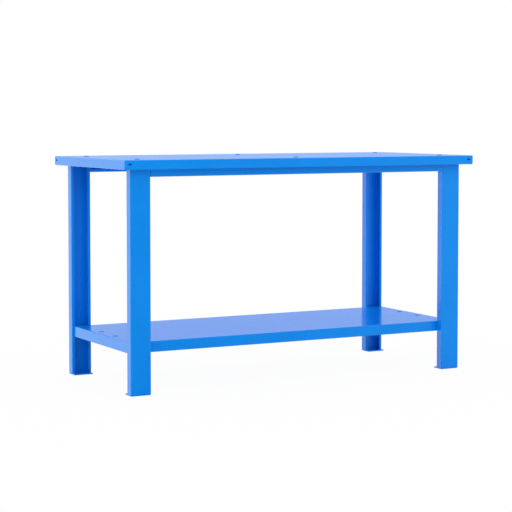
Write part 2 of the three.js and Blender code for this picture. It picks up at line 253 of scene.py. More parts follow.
@dataclass(frozen=True)
class Finish:
    """A finish whose tone, gloss and relief each follow a noise of their own."""

    name: str
    first: tuple
    second: tuple
    tone: tuple
    gloss: tuple
    smooth: float
    rough: float
    relief: tuple
    relief_depth: float
    refraction: float
    metal: float

    def material(self) -> bpy.types.Material:
        """Mixes the finish. Tone, gloss and relief are pairs of waves to the metre and octaves.

        Returns:
            The material.
        """
        shader = Shader(bpy.data.materials.new(self.name))
        colour = shader.blend(shader.noise(*self.tone), self.first, self.second)
        gloss = shader.noise(*self.gloss, self.smooth, self.rough)
        height = shader.noise(*self.relief)
        relief = {"Height": height, "Distance": self.relief_depth, "Strength": 1.0}
        coat = {
            "Base Color": colour,
            "Roughness": gloss,
            "Normal": shader.node("ShaderNodeBump", relief).outputs["Normal"],
            "IOR": self.refraction,
            "Metallic": self.metal,
        }
        return shader.finish(shader.node("ShaderNodeBsdfPrincipled", coat).outputs[0])


@dataclass(frozen=True)
class PowderCoat(Finish):
    """A glossy baked coat: a fine orange peel, and a tone that drifts a little over the sheet."""

    name: str = "blue_powder_coat"
    first: tuple = (0.001, 0.266, 0.88, 1)
    second: tuple = (0.002, 0.296, 0.94, 1)
    tone: tuple = (5.0, 3.0)
    gloss: tuple = (26.0, 4.0)
    smooth: float = 0.13
    rough: float = 0.18
    relief: tuple = (330.0, 2.0)
    relief_depth: float = 0.000025
    refraction: float = 1.42
    metal: float = 0.0


@dataclass(frozen=True)
class ZincPlate(Finish):
    """Bright zinc plating: grey metal with a faint blue and yellow cast and fine drawing marks."""

    name: str = "zinc_plated_steel"
    first: tuple = (0.52, 0.56, 0.61, 1)
    second: tuple = (0.62, 0.60, 0.54, 1)
    tone: tuple = (180.0, 2.0)
    gloss: tuple = (400.0, 3.0)
    smooth: float = 0.22
    rough: float = 0.42
    relief: tuple = (1600.0, 2.0)
    relief_depth: float = 0.00003
    refraction: float = 1.5
    metal: float = 1.0


@dataclass(frozen=True)
class StudioFloor:
    """A white floor that glows for the camera, so that only a faint shadow shows on it. From below it is
    clear, so that the underside of the table can be seen."""

    name: str = "studio_floor"
    colour: tuple = grey(0.93)
    veil: float = 0.96

    def material(self) -> bpy.types.Material:
        """Mixes matt white with a glow for camera and mirrored rays and no others, clear from behind.

        Returns:
            The material.
        """
        shader = Shader(bpy.data.materials.new(self.name))
        matt = shader.node("ShaderNodeBsdfDiffuse", {"Color": self.colour}).outputs[0]
        glow = shader.node("ShaderNodeEmission", {"Color": grey(1.0), "Strength": 1.0}).outputs[0]
        path = shader.node("ShaderNodeLightPath").outputs
        rays = {0: path["Is Camera Ray"], 1: path["Is Glossy Ray"]}
        seen = shader.node("ShaderNodeMath", rays, operation="MAXIMUM").outputs[0]
        share = shader.node("ShaderNodeMath", {0: seen, 1: self.veil}, operation="MULTIPLY").outputs[0]
        front = shader.node("ShaderNodeMixShader", {0: share, 1: matt, 2: glow}).outputs[0]
        behind = shader.node("ShaderNodeNewGeometry").outputs["Backfacing"]
        clear = shader.node("ShaderNodeBsdfTransparent").outputs[0]
        return shader.finish(shader.node("ShaderNodeMixShader", {0: behind, 1: front, 2: clear}).outputs[0])


# Surfaces


@dataclass
class Place:
    """A local frame: an origin and three axes."""

    origin: tuple | list | Array
    across: tuple | Array = (1, 0, 0)
    deep: tuple | Array = (0, 1, 0)
    along: tuple | Array = UP

    def __call__(self, points: Array) -> Array:
        """Local points (..., 3) in the table's frame."""
        return np.asarray(points) @ np.array([self.across, self.deep, self.along], float) + self.origin

    def grid(self, across: Array, deep: Array, along: Array) -> Array:
        """A grid of points in the table's frame, from local coordinates that are spread over one grid."""
        return self(np.stack(np.broadcast_arrays(across, deep, along), axis=-1))

    def run(self, start: Array, way: Array) -> "Place":
        """The frame of a flat run of a section: it starts at a point, goes one way, and then on along."""
        return Place(self([*start, 0.0]), self([*way, 0.0]) - self.origin, self.along)


@dataclass
class Hole:
    """A round hole in a flat run, or a slot with round ends where it has a straight stretch."""

    u: float
    v: float
    radius: float
    stretch: float = 0.0
    points: int = 32
    cell_share: float = 1.6

    def cell(self) -> Array:
        """The lower left and the upper right corner of the piece of sheet round the hole."""
        half = self.cell_share * self.radius + np.array([self.stretch, 0])
        return np.array([(self.u, self.v) - half, (self.u, self.v) + half])

    def outline(self) -> Array:
        """The rim: a circle whose two halves are moved apart along u by the stretch.

        Returns:
            Its points, from the lower left.
        """
        turn = np.linspace(0, 2 * np.pi, self.points, endpoint=False) - 0.75 * np.pi
        across = self.radius * np.cos(turn) + self.stretch * np.sign(np.cos(turn))
        return np.stack([self.u + across, self.v + self.radius * np.sin(turn)], axis=-1)


def lines(*places: Array | list) -> Array:
    """Grid lines in order, without doubles, to a tenth of a micrometre."""
    return np.unique(np.round(np.concatenate([np.ravel(p) for p in places]), 7))


def cell_lines(holes: list[Hole], axis: int) -> Array:
    """The grid lines that bound the cells of some holes, across (0) or along (1)."""
    return np.ravel([hole.cell()[:, axis] for hole in holes])


@dataclass
class Surface:
    """Patches of a piece, gathered into one set of points and faces."""

    points: list = field(default_factory=list)
    faces: list = field(default_factory=list)
    count: int = 0

    def add(self, points: Array, faces: list) -> None:
        """Adds a patch.

        Args:
            points: Its points.
            faces: Its faces, as indices into its points.
        """
        self.faces += [[self.count + i for i in face] for face in faces]
        self.points.append(points)
        self.count += len(points)

    @staticmethod
    def quads(rows: int, columns: int) -> Array:
        """The four corners of every cell of a grid, as indices."""
        first = np.arange(rows - 1)[:, None] * columns + np.arange(columns - 1)[None, :]
        return np.stack([first, first + 1, first + columns + 1, first + columns], axis=-1).reshape(-1, 4)

    def patch(self, grid: Array) -> None:
        """Adds a patch from a grid of points, as rows by columns by 3."""
        rows, columns, _ = grid.shape
        self.add(grid.reshape(-1, 3), self.quads(rows, columns).tolist())

    def pierced(self, u: Array, v: Array, holes: list[Hole], place: Place) -> None:
        """Adds a flat patch with holes. Each hole takes the place of one cell of the grid, and four faces
        join the cell's corners to the rim.

        Args:
            u: The lines across, in order.
            v: The lines along, in order.
            holes: The holes, each inside one cell.
            place: The frame that the patch lies flat in.
        """
        across, along = np.meshgrid(u, v)
        flat = np.stack([across, along], axis=-1).reshape(-1, 2)
        cells = self.quads(len(v), len(u))
        kept = np.ones(len(cells), bool)
        rims, faces = [], []
        start = len(flat)
        for hole in holes:
            row, column = np.searchsorted(v, hole.v) - 1, np.searchsorted(u, hole.u) - 1
            cell = row * (len(u) - 1) + column
            kept[cell] = False
            ring = start + np.arange(hole.points + 1) % hole.points
            quarter = hole.points // 4
            for side in range(4):
                edge = [cells[cell][side], cells[cell][(side + 1) % 4]]
                faces.append(edge + ring[side * quarter:(side + 1) * quarter + 1][::-1].tolist())
            rims.append(hole.outline())
            start += hole.points
        points = np.concatenate([flat, *rims])
        self.add(place.grid(points[:, 0], points[:, 1], 0.0), cells[kept].tolist() + faces)

    def piece(self, name: str, outward: tuple | None = None) -> bpy.types.Object:
        """An object of all the patches, with shared points merged and faces turned one way.

        Args:
            name: The object's name.
            outward: The way that the outermost face looks, for a surface that is open.

        Returns:
            The object, which stands in the scene.
        """
        mesh = bpy.data.meshes.new(name)
        mesh.from_pydata(np.concatenate(self.points).tolist(), [], self.faces)
        shell = bmesh.new()
        shell.from_mesh(mesh)
        bmesh.ops.remove_doubles(shell, verts=shell.verts, dist=MERGE_DISTANCE)
        bmesh.ops.dissolve_degenerate(shell, edges=shell.edges, dist=MERGE_DISTANCE)
        bmesh.ops.recalc_face_normals(shell, faces=shell.faces)
        shell.to_mesh(mesh)
        shell.free()
        if outward is not None:
            way = Vector(outward)
            outermost = max(mesh.polygons, key=lambda face: (round(face.center.dot(way), 6), face.area))
            if outermost.normal.dot(way) < 0:
                mesh.flip_normals()
        made = bpy.data.objects.new(name, mesh)
        bpy.context.scene.collection.objects.link(made)
        return made


class Workshop:
    """Makes pieces from surfaces: gives sheets their thickness, rounds rims, dresses and reports them."""

    rim = 0.00035
    rim_segments = 2
    rim_angle = 55.0
    sheet_angle = 50.0
    solid_angle = 40.0
    face_weight = 100

    def __init__(self) -> None:
        """Mixes the two finishes."""
        self.finishes = {Slot.PAINT: PowderCoat().material(), Slot.ZINC: ZincPlate().material()}

    def dress(self, piece: bpy.types.Object, slot: Slot, nodes: tuple, angle: float) -> None:
        """Gives a piece shading that follows its large faces, its finish, body and nodes, and reports it.

        Args:
            piece: The piece.
            slot: Its material slot.
            nodes: The nodes that it stands for.
            angle: Edges above this angle stay sharp, in degrees.
        """
        piece.data.shade_smooth()
        piece.data.set_sharp_from_angle(angle=math.radians(angle))
        weighted = piece.modifiers.new("even_normals", "WEIGHTED_NORMAL")
        weighted.keep_sharp = True
        weighted.weight = self.face_weight
        piece.data.materials.clear()
        piece.data.materials.append(self.finishes[slot])
        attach(piece, BODY)
        if nodes:
            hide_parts(*nodes)
        LOG.info("%s: %d faces", piece.name, len(piece.data.polygons))

    def solid(self, name: str, grids: list, slot: Slot, nodes: tuple, angle: float = solid_angle) -> None:
        """Makes a piece from closed surfaces.

        Args:
            name: The piece's name.
            grids: The points of each surface, as rows by columns by 3.
            slot: Its material slot.
            nodes: The nodes that it stands for.
            angle: Edges above this angle stay sharp, in degrees.
        """
        surface = Surface()
        for grid in grids:
            surface.patch(grid)
        self.dress(surface.piece(name), slot, nodes, angle)

    def sheet(self, name: str, surface: Surface, thick: float, outward: tuple, node: str,
              rim: float = rim) -> None:
        """Makes a painted piece from the outer face of a sheet: the sheet lies behind that face, and the
        coat rounds its rims.

        Args:
            name: The piece's name.
            surface: The outer face.
            thick: The sheet's thickness.
            outward: The way that the outermost face looks.
            node: The node that it stands for.
            rim: The radius of the rims.
        """
        piece = surface.piece(name, outward)
        wall = piece.modifiers.new("wall", "SOLIDIFY")
        wall.thickness = thick
        wall.offset = -1
        wall.use_even_offset = True
        edge = piece.modifiers.new("rim", "BEVEL")
        edge.width = rim
        edge.segments = self.rim_segments
        edge.angle_limit = math.radians(self.rim_angle)
        graph = bpy.context.evaluated_depsgraph_get()
        piece.data = bpy.data.meshes.new_from_object(piece.evaluated_get(graph))
        piece.data.name = name
        piece.modifiers.clear()
        self.dress(piece, Slot.PAINT, (node,), self.sheet_angle)


@dataclass
class Assembly:
    """A part of the table that is made in the workshop."""

    shop: Workshop


# Folded sheet


@dataclass
class FoldedStrip:
    """A strip of sheet folded along a path of square corners and carried along a straight line. Its holes
    are listed by the run of the path that they lie in."""

    corners: list
    sheet: float
    place: Place
    length: float
    holes: dict = field(default_factory=dict)

    def surface(self) -> Surface:
        """The face that the path draws: flat runs, with quarter arcs at the corners, each carried along the
        length. A corner that turns left has the sheet inside it, so its radius is the bend plus the sheet.

        Returns:
            The surface.
        """
        path = np.array(self.corners, float)
        ways = np.diff(path, axis=0)
        reach = np.linalg.norm(ways, axis=1)
        ways /= reach[:, None]
        lefts = np.stack([-ways[:, 1], ways[:, 0]], axis=-1)
        turns = np.sign(np.sum(lefts[:-1] * ways[1:], axis=1))
        radii = np.concatenate([[0], np.where(turns > 0, BEND + self.sheet, BEND), [0]])
        every_hole = [hole for group in self.holes.values() for hole in group]
        along = lines([0, self.length], cell_lines(every_hole, 1))
        made = Surface()
        for run, way in enumerate(ways):
            holes = self.holes.get(run, [])
            across = lines([radii[run], reach[run] - radii[run + 1]], cell_lines(holes, 0))
            made.pierced(across, along, holes, self.place.run(path[run], way))
        for corner, turn in enumerate(turns, 1):
            way, side = ways[corner - 1], turn * lefts[corner - 1]
            angle = QUARTER[:, None]
            arc = side * (1 - np.cos(angle)) + way * (np.sin(angle) - 1)
            x, y = (path[corner] + radii[corner] * arc).T
            made.patch(self.place.grid(x[None], y[None], along[:, None]))
        return made


def lipped_channel(width: float, depth: float) -> list:
    """The outer path of a channel that opens towards +, as the runs lip, flange, web on 0, flange, lip."""
    half, tip = width / 2, width / 2 - LIP
    return [(-tip, depth), (-half, depth), (-half, 0), (half, 0), (half, depth), (tip, depth)]


def plain_channel(width: float, depth: float) -> list:
    """The outer path of a channel that opens towards +, as the runs flange, web on 0, flange."""
    half = width / 2
    return [(-half, depth), (-half, 0), (half, 0), (half, depth)]


@dataclass
class Tray:
    """The outer face of a tray folded down on its four sides, with round corners. A side is given in quarter
    turns from the front: 0 front, 1 right, 2 back, 3 left."""

    low: Array
    high: Array
    sheet: float
    surface: Surface = field(default_factory=Surface)

    @property
    def radius(self) -> float:
        """The outside radius of a fold."""
        return BEND + self.sheet

    def reach(self, turn: int) -> float:
        """Half the length of a side."""
        return (self.high - self.low)[turn % 2] / 2

    def side(self, turn: int) -> Place:
        """The frame of a side: along it from its middle, in from its outer face, and up from the floor.

        Args:
            turn: The side.

        Returns:
            The frame.
        """
        angle = turn * np.pi / 2
        way = np.round([np.cos(angle), np.sin(angle), 0])
        inward = np.array([-way[1], way[0], 0])
        middle = (self.low + self.high) / 2 * (1, 1, 0)
        return Place(middle - self.reach(turn + 1) * inward, way, inward)

    def fold_down(self, turn: int, along: Array) -> None:
        """Adds the fold at the top of a side: a quarter arc carried along it."""
        arc = self.radius * (1 - np.sin(QUARTER)), self.high[2] - self.radius * (1 - np.cos(QUARTER))
        self.surface.patch(self.side(turn).grid(along[:, None], *arc))

    def fascia(self, turn: int, along: Array, heights: Array, slots: list[Hole]) -> None:
        """Adds the flat of a side from lines along and across it, with its slots."""
        side = self.side(turn)
        self.surface.pierced(along, heights, slots, Place(side.origin, side.across, UP))

    def fold_under(self, turn: int, along: Array, width: float, gap: float) -> None:
        """Adds the return of a side: an arc in under the fascia and a flat, mitred at its ends where it has
        a gap. A place along the side is held within the mitre, which closes in as the return goes in.

        Args:
            turn: The side.
            along: Lines along the side.
            width: The return's width from the outer face.
            gap: The gap of the mitre, or 0 for square ends.
        """
        inset = np.append(self.radius * (1 - np.cos(QUARTER)), width)
        height = self.low[2] + np.append(self.radius * (1 - np.sin(QUARTER)), 0)
        limit = self.reach(turn) - np.maximum(inset, self.radius) - np.where(inset > self.radius, gap, 0)
        limit = limit if gap > 0 else np.full_like(inset, np.abs(along).max())
        held = np.clip(along[:, None], -limit, limit)
        self.surface.patch(self.side(turn).grid(held, inset, height))

    def corner(self, turn: int, heights: Array) -> None:
        """Adds the round corner at the end of a side: an eighth of a sphere over a quarter of a cylinder.

        Args:
            turn: The side.
            heights: Heights of the cylinder.
        """
        side, radius = self.side(turn), self.radius
        end, top = self.reach(turn) - radius, self.high[2] - radius
        along, inward = radius * np.sin(QUARTER[:, None]), radius * np.cos(QUARTER[:, None])
        spread = np.sin(QUARTER)
        ball = side.grid(end + along * spread, radius - inward * spread, top + radius * np.cos(QUARTER))
        self.surface.patch(ball)
        self.surface.patch(side.grid(end + along, radius - inward, heights))


@dataclass
class TableTop(Assembly):
    """The table top: a tray with hanging slots near its corners, bolted down at six places."""

    turned_in: float = 0.015
    mitre_gap: float = 0.0007
    slot_radius: float = 0.0035
    slot_stretch: float = 0.0035
    slot_from_corner: float = 0.021
    slot_below_top: float = 0.0155
    slot_ends: tuple = ((-1, 1), (1,), (), (-1,))
    seat_radius: float = 0.0112
    seat_depth: float = 0.0003
    seat_slope: float = 0.0006
    seat_steps: int = 5

    def build(self) -> None:
        """Folds the sheet: the flat with its bolt seats, then the four sides and their corners."""
        tray = Tray(*box_of("top_panel"), SHEET)
        top, half = tray.high[2], tray.high[:2] - tray.radius
        names = [f"top_bolt_{row.word}_{at}" for row, at in product(Row, ("left", "middle", "right"))]
        bolts = [Hole(*middle_of(name)[:2], self.seat_radius) for name in names]
        slots = [self.slots(tray, turn) for turn in range(4)]
        across = lines([-half[0], half[0]], cell_lines(bolts, 0), cell_lines(slots[0], 0))
        side_lines = cell_lines(slots[1], 0)
        deep = lines([-half[1], half[1]], cell_lines(bolts, 1), side_lines, -side_lines)
        heights = lines([tray.low[2] + tray.radius, top - tray.radius], cell_lines(slots[0], 1))
        tray.surface.pierced(across, deep, bolts, Place([0, 0, top]))
        for bolt in bolts:
            tray.surface.patch(self.seat(bolt, top))
        for turn in range(4):
            along = (across, deep)[turn % 2]
            tray.fold_down(turn, along)
            tray.fascia(turn, along, heights, slots[turn])
            tray.fold_under(turn, along, self.turned_in, self.mitre_gap)
            tray.corner(turn, heights)
        self.shop.sheet("top_sheet", tray.surface, SHEET, UP, "top_panel")

    def slots(self, tray: Tray, turn: int) -> list[Hole]:
        """The slots of a side: at both ends of the front, and at the back end of the left and right."""
        place, height = tray.reach(turn) - self.slot_from_corner, tray.high[2] - self.slot_below_top
        return [
            Hole(end * place, height, self.slot_radius, self.slot_stretch) for end in self.slot_ends[turn]
        ]

    def seat(self, bolt: Hole, face: float) -> Array:
        """The pressed seat of a bolt: a ring round its hole that falls from the face by half a cosine wave.

        Args:
            bolt: The rim of the seat.
            face: The height of the face.

        Returns:
            The ring's grid of points.
        """
        rim = bolt.outline() - (bolt.u, bolt.v)
        x, y = np.concatenate([rim, rim[:1]]).T
        fall = np.linspace(0, 1, self.seat_steps)
        inset = np.append(self.seat_slope * fall, self.seat_radius - BOLT_HOLE)
        drop = np.append(self.seat_depth * (0.5 - 0.5 * np.cos(np.pi * fall)), self.seat_depth)
        share = (1 - inset / self.seat_radius)[:, None]
        return Place([bolt.u, bolt.v, face]).grid(share * x, share * y, -drop[:, None])


@dataclass
class Shelf(Assembly):
    """The shelf: a shallow tray with plain ends, notched at its corners over the cross rails."""

    turned_in: float = 0.012
    notch_clearance: float = 0.001

    def build(self) -> None:
        """Folds the sheet: the flat with its bolt holes, the two ends, and the front and back between the
        notches. The flat runs out to the edge over each notch."""
        tray = Tray(*box_of("shelf_panel"), SHELF_SHEET)
        flat = Place([0, 0, tray.high[2]])
        *half, top = tray.high - tray.radius
        bolts = [Hole(*middle_of(f"shelf_bolt_{corner.name}")[:2], BOLT_HOLE) for corner in CORNERS]
        notch = box_of("lower_cross_rail_right")[0][0] - self.notch_clearance
        across = lines([-half[0], -notch, notch, half[0]], cell_lines(bolts, 0))
        deep = lines([-half[1], half[1]], cell_lines(bolts, 1))
        tray.surface.pierced(across, deep, bolts, flat)
        between = across[np.abs(across) <= notch + MERGE_DISTANCE]
        for turn in (0, 2):
            tray.fold_down(turn, between)
            tray.fascia(turn, between, np.array([tray.low[2] + tray.radius, top]), [])
            tray.fold_under(turn, between, self.turned_in, 0.0)
        full = lines(deep, [-tray.high[1], tray.high[1]])
        for turn in (1, 3):
            tray.fold_down(turn, full)
            tray.fascia(turn, full, np.array([tray.low[2], top]), [])
        for corner in CORNERS:
            ear_x = lines(corner.side.value * across[across >= notch - MERGE_DISTANCE])
            ear_y = lines(corner.row.value * np.array([half[1], tray.high[1]]))
            tray.surface.pierced(ear_x, ear_y, [], flat)
        self.shop.sheet("shelf_sheet", tray.surface, SHELF_SHEET, UP, "shelf_panel")


# Plates, welds and fasteners


@dataclass
class Plate:
    """A flat plate with round corners, and a hole where it takes a bolt."""

    low: Array
    high: Array
    hole: Hole | None = None
    corner: float = 0.003
    rings: int = 3

    def surface(self) -> Surface:
        """The upper face: rings that blend from the rim of the hole, or from the middle, to the edge, which
        is four quarter circles joined by straight runs.

        Returns:
            The surface.
        """
        half, middle = (self.high - self.low)[:2] / 2, (self.high + self.low)[:2] / 2
        turns = (np.arange(4)[:, None] * np.pi / 2 + QUARTER).ravel()
        rays = np.stack([np.cos(turns), np.sin(turns)], axis=-1)
        signs = np.repeat([[1, 1], [-1, 1], [-1, -1], [1, -1]], len(QUARTER), axis=0)
        edge = middle + signs * (half - self.corner) + self.corner * rays
        edge = np.concatenate([edge, edge[:1]])
        rim = np.broadcast_to(middle, edge.shape)
        if self.hole is not None:
            seat = np.array([self.hole.u, self.hole.v])
            ray = edge - seat
            rim = seat + self.hole.radius * ray / np.linalg.norm(ray, axis=1, keepdims=True)
        share = np.linspace(0, 1, self.rings)[:, None, None]
        x, y = np.moveaxis(rim * (1 - share) + edge * share, -1, 0)
        made = Surface()
        made.patch(Place([0, 0, self.high[2]]).grid(x, y, 0.0))
        return made


@dataclass
class WeldBead:
    """A weld bead along a straight corner: a round section whose radius ripples along the run."""

    start: Array
    end: Array
    out: Array
    radius: float
    lift: float = 0.45
    ripple: float = 0.0022
    ripple_steps: int = 5
    ripple_share: float = 0.12
    crown_lead: float = 0.4
    taper_power: int = 30
    least_steps: int = 24
    around_steps: int = 10

    def grid(self) -> Array:
        """Circles about the run, each a little nearer its start at the crown, so that the ripples curve, and
        drawn in to a point at both ends. The radius follows the size of a sine along the run.

        Returns:
            The bead's grid of points.
        """
        run = self.end - self.start
        length = np.linalg.norm(run)
        up = self.out / np.linalg.norm(self.out)
        side = np.cross(run / length, up)
        steps = max(self.least_steps, int(length / self.ripple * self.ripple_steps))
        share = np.linspace(0, 1, steps)[:, None]
        turn = np.linspace(0, 2 * np.pi, self.around_steps + 1)[None]
        crown = 0.5 + 0.5 * np.cos(turn)
        wave = np.abs(np.sin(np.pi * (share * length / self.ripple + self.crown_lead * crown)))
        taper = np.clip(1 - np.abs(2 * share - 1) ** self.taper_power, 0, None) ** 0.5
        radius = self.radius * taper * (1 - self.ripple_share + self.ripple_share * wave)
        centre = self.start + share[..., None] * run + self.lift * self.radius * self.out
        spoke = np.cos(turn)[..., None] * up + np.sin(turn)[..., None] * side
        return centre + radius[..., None] * spoke


@dataclass
class Thread:
    """A metric thread: the radius is a triangle wave of the height and the turn together."""

    major: float = 0.004
    depth: float = 0.00055
    pitch: float = 0.00125
    flank: float = 1.3
    flat: float = 0.15
    levels: int = 6
    least_levels: int = 3
    steps: int = 48

    def turns(self) -> Array:
        """The angles of one turn, closed."""
        return np.linspace(0, 2 * np.pi, self.steps + 1)

    def radius(self, height: Array) -> Array:
        """The radius of the flank at each height and angle, with a little flat at root and crest."""
        wave = np.abs(2 * np.mod(height / self.pitch - self.turns() / (2 * np.pi), 1) - 1)
        return self.major - self.depth * np.clip(self.flank * wave - self.flat, 0, 1)

    def heights(self, first: float, last: float) -> Array:
        """A column of levels from one height to another, some to each pitch."""
        count = max(self.least_levels, int(self.levels * abs(last - first) / self.pitch))
        return np.linspace(first, last, count)[:, None]


@dataclass
class Turned:
    """A fastener about the z axis of its frame, as rows of heights and radii over a closed turn."""

    place: Place
    thread: Thread = field(default_factory=Thread)
    hexagon: float = 0.013
    hexagon_levels: int = 15
    cone_share: float = 0.96
    cone_slope: float = 0.55
    face_share: float = 0.9
    washer: float = 0.0004
    washer_share: float = 0.94
    dome_levels: int = 18
    dome_power: float = 5.0
    dome_edge: float = 0.4
    edge_foot: float = 0.2
    edge_bevel: float = 0.0002
    point_share: float = 0.78
    nut_clearance: float = 0.0003

    def hexagon_rows(self, low: float, high: float, foot: bool) -> tuple[Array, Array]:
        """A hexagon cut by a cone at its ends: at each level the smaller of both radii. A side lies half the
        width over the cosine of the angle from its middle away.

        Args:
            low: The lower face.
            high: The upper face.
            foot: Whether a cone cuts the lower end too.

        Returns:
            A column of heights, and the radii as rows by angles.
        """
        half = self.hexagon / 2
        side = half / np.cos(np.mod(self.thread.turns(), np.pi / 3) - np.pi / 6)
        height = np.linspace(low, high, self.hexagon_levels)[:, None]
        near = np.minimum(high - height, height - low) if foot else high - height
        return height, np.minimum(side, self.cone_share * half + near / self.cone_slope)

    def shank_rows(self, length: float) -> list:
        """The threaded shank, from 0 down to a chamfered point and on to the axis.

        Args:
            length: The length of the shank.

        Returns:
            Pairs of heights and radii.
        """
        height = self.thread.heights(0.0, -length)
        taper = np.clip((height + length) / self.thread.pitch, 0, 1)
        point = self.thread.major * (self.point_share + (1 - self.point_share) * taper)
        return [(height, np.minimum(self.thread.radius(height), point)), self.level(-length, 0.0)]

    @staticmethod
    def level(height: float, *radii: float) -> tuple[Array, Array]:
        """Heights and radii of rows at one height, a row for each radius."""
        return np.full((len(radii), 1), height), np.array(radii)[:, None]

    def spin(self, *rows: tuple) -> Array:
        """Rows turned about the axis.

        Args:
            rows: Pairs of heights and radii, from one end to the other.

        Returns:
            The fastener's grid of points.
        """
        spread = [np.broadcast_arrays(height, radius, self.thread.turns()) for height, radius in rows]
        height, radius, turn = (np.concatenate(part) for part in zip(*spread))
        return self.place.grid(radius * np.cos(turn), radius * np.sin(turn), height)

    def dome_bolt(self, head: float, height: float, length: float) -> Array:
        """A bolt with a low domed head that seats on z = 0, its shank running down. The dome's height over a
        short straight edge is the root of one less a power of the distance from the axis.

        Args:
            head: The diameter of the head.
            height: The height of the head.
            length: The length of the shank.

        Returns:
            The bolt's grid of points.
        """
        rim, edge = head / 2, self.dome_edge * height
        share = np.sin(np.linspace(0, np.pi / 2, self.dome_levels))[:, None]
        dome = edge + (height - edge) * np.sqrt(1 - share**self.dome_power), rim * share
        foot = self.level(self.edge_foot * edge, rim), self.level(0.0, rim - self.edge_bevel)
        return self.spin(dome, *foot, *self.shank_rows(length))

    def hex_bolt(self, height: float, length: float) -> Array:
        """A bolt with a hexagon head that seats on z = 0 by a thin washer face, its shank running down.

        Args:
            height: The height of the head.
            length: The length of the shank.

        Returns:
            The bolt's grid of points.
        """
        levels, radius = self.hexagon_rows(self.washer, height, False)
        face = self.level(height, 0.0, self.face_share * self.hexagon / 2)
        foot = [self.level(level, self.washer_share * self.hexagon / 2) for level in (self.washer, 0.0)]
        return self.spin(face, (levels[::-1], radius[::-1]), *foot, *self.shank_rows(length))

    def hex_nut(self, height: float) -> Array:
        """A nut that hangs below z = 0, with a threaded bore, as one ring of rows that closes on itself.

        Args:
            height: The height of the nut.

        Returns:
            The nut's grid of points.
        """
        levels, radius = self.hexagon_rows(-height, 0.0, True)
        thread = self.thread.heights(0.0, -height)
        bore = self.thread.radius(thread) + self.nut_clearance
        mouth = self.thread.major + 2 * self.nut_clearance
        upper, lower = self.level(0.0, mouth), self.level(-height, mouth)
        return self.spin((levels, radius), upper, (thread, bore), lower, (levels[:1], radius[:1]))

    @classmethod
    def lying(cls, side: Side, x: float, bolt: Array) -> "Turned":
        """A fastener that lies along the table at a bolt's middle, its axis pointing outward."""
        return cls(Place([x, bolt[1], bolt[2]], (0, 1, 0), (0, 0, side.value), (side.value, 0, 0)))


@dataclass
class Fasteners(Assembly):
    """The loose bolts and nuts of the table."""

    hex_head: float = 0.0053
    top_head_share: float = 0.62
    shelf_head_share: float = 0.4

    def build(self) -> None:
        """Makes the domed bolts and nuts of the top and the shelf, then the hexagon bolts of the rails."""
        corners = [corner.name for corner in CORNERS]
        for place in corners + [f"{row.word}_middle" for row in Row]:
            self.dome_pair("top", place, self.top_head_share)
        for place in corners:
            self.dome_pair("shelf", place, self.shelf_head_share)
        for corner, level in product(CORNERS, ("lower", "upper")):
            self.rail_bolt(corner, level)

    def dome_pair(self, kind: str, place: str, head_share: float) -> None:
        """A painted domed bolt and its nut.

        Args:
            kind: The sheet that they hold: top or shelf.
            place: The name of their place.
            head_share: The height of the flattened head, as a share of the solid head's.
        """
        face = box_of(f"{kind}_panel")[1][2]
        low, high = box_of(f"{kind}_bolt_{place}")
        x, y, _ = (low + high) / 2
        head, height = high[0] - low[0], head_share * (high[2] - face)
        bolt = Turned(Place([x, y, face])).dome_bolt(head, height, face - low[2])
        self.shop.solid(f"{kind}_dome_bolt_{place}", [bolt], Slot.PAINT, (f"{kind}_bolt_{place}",))
        low, high = box_of(f"{kind}_nut_{place}")
        nut = Turned(Place([x, y, high[2]])).hex_nut(high[2] - low[2])
        self.shop.solid(f"{kind}_hex_nut_{place}", [nut], Slot.ZINC, (f"{kind}_nut_{place}",))

    def rail_bolt(self, corner: Corner, level: str) -> None:
        """A hexagon bolt through the inner flange of a leg, its head inside the leg.

        Args:
            corner: The corner of the table.
            level: Which of the two bolts of the corner.
        """
        node = f"rail_bolt_{corner.name}_{level}"
        low, high = box_of(node)
        side = corner.side
        seat = side.outer(low[0], high[0]) - side.value * self.hex_head
        length = abs(seat - side.inner(low[0], high[0]))
        bolt = Turned.lying(side, seat, (low + high) / 2).hex_bolt(self.hex_head, length)
        self.shop.solid(f"hex_bolt_{corner.name}_{level}", [bolt], Slot.ZINC, (node,))


# Frame of the table


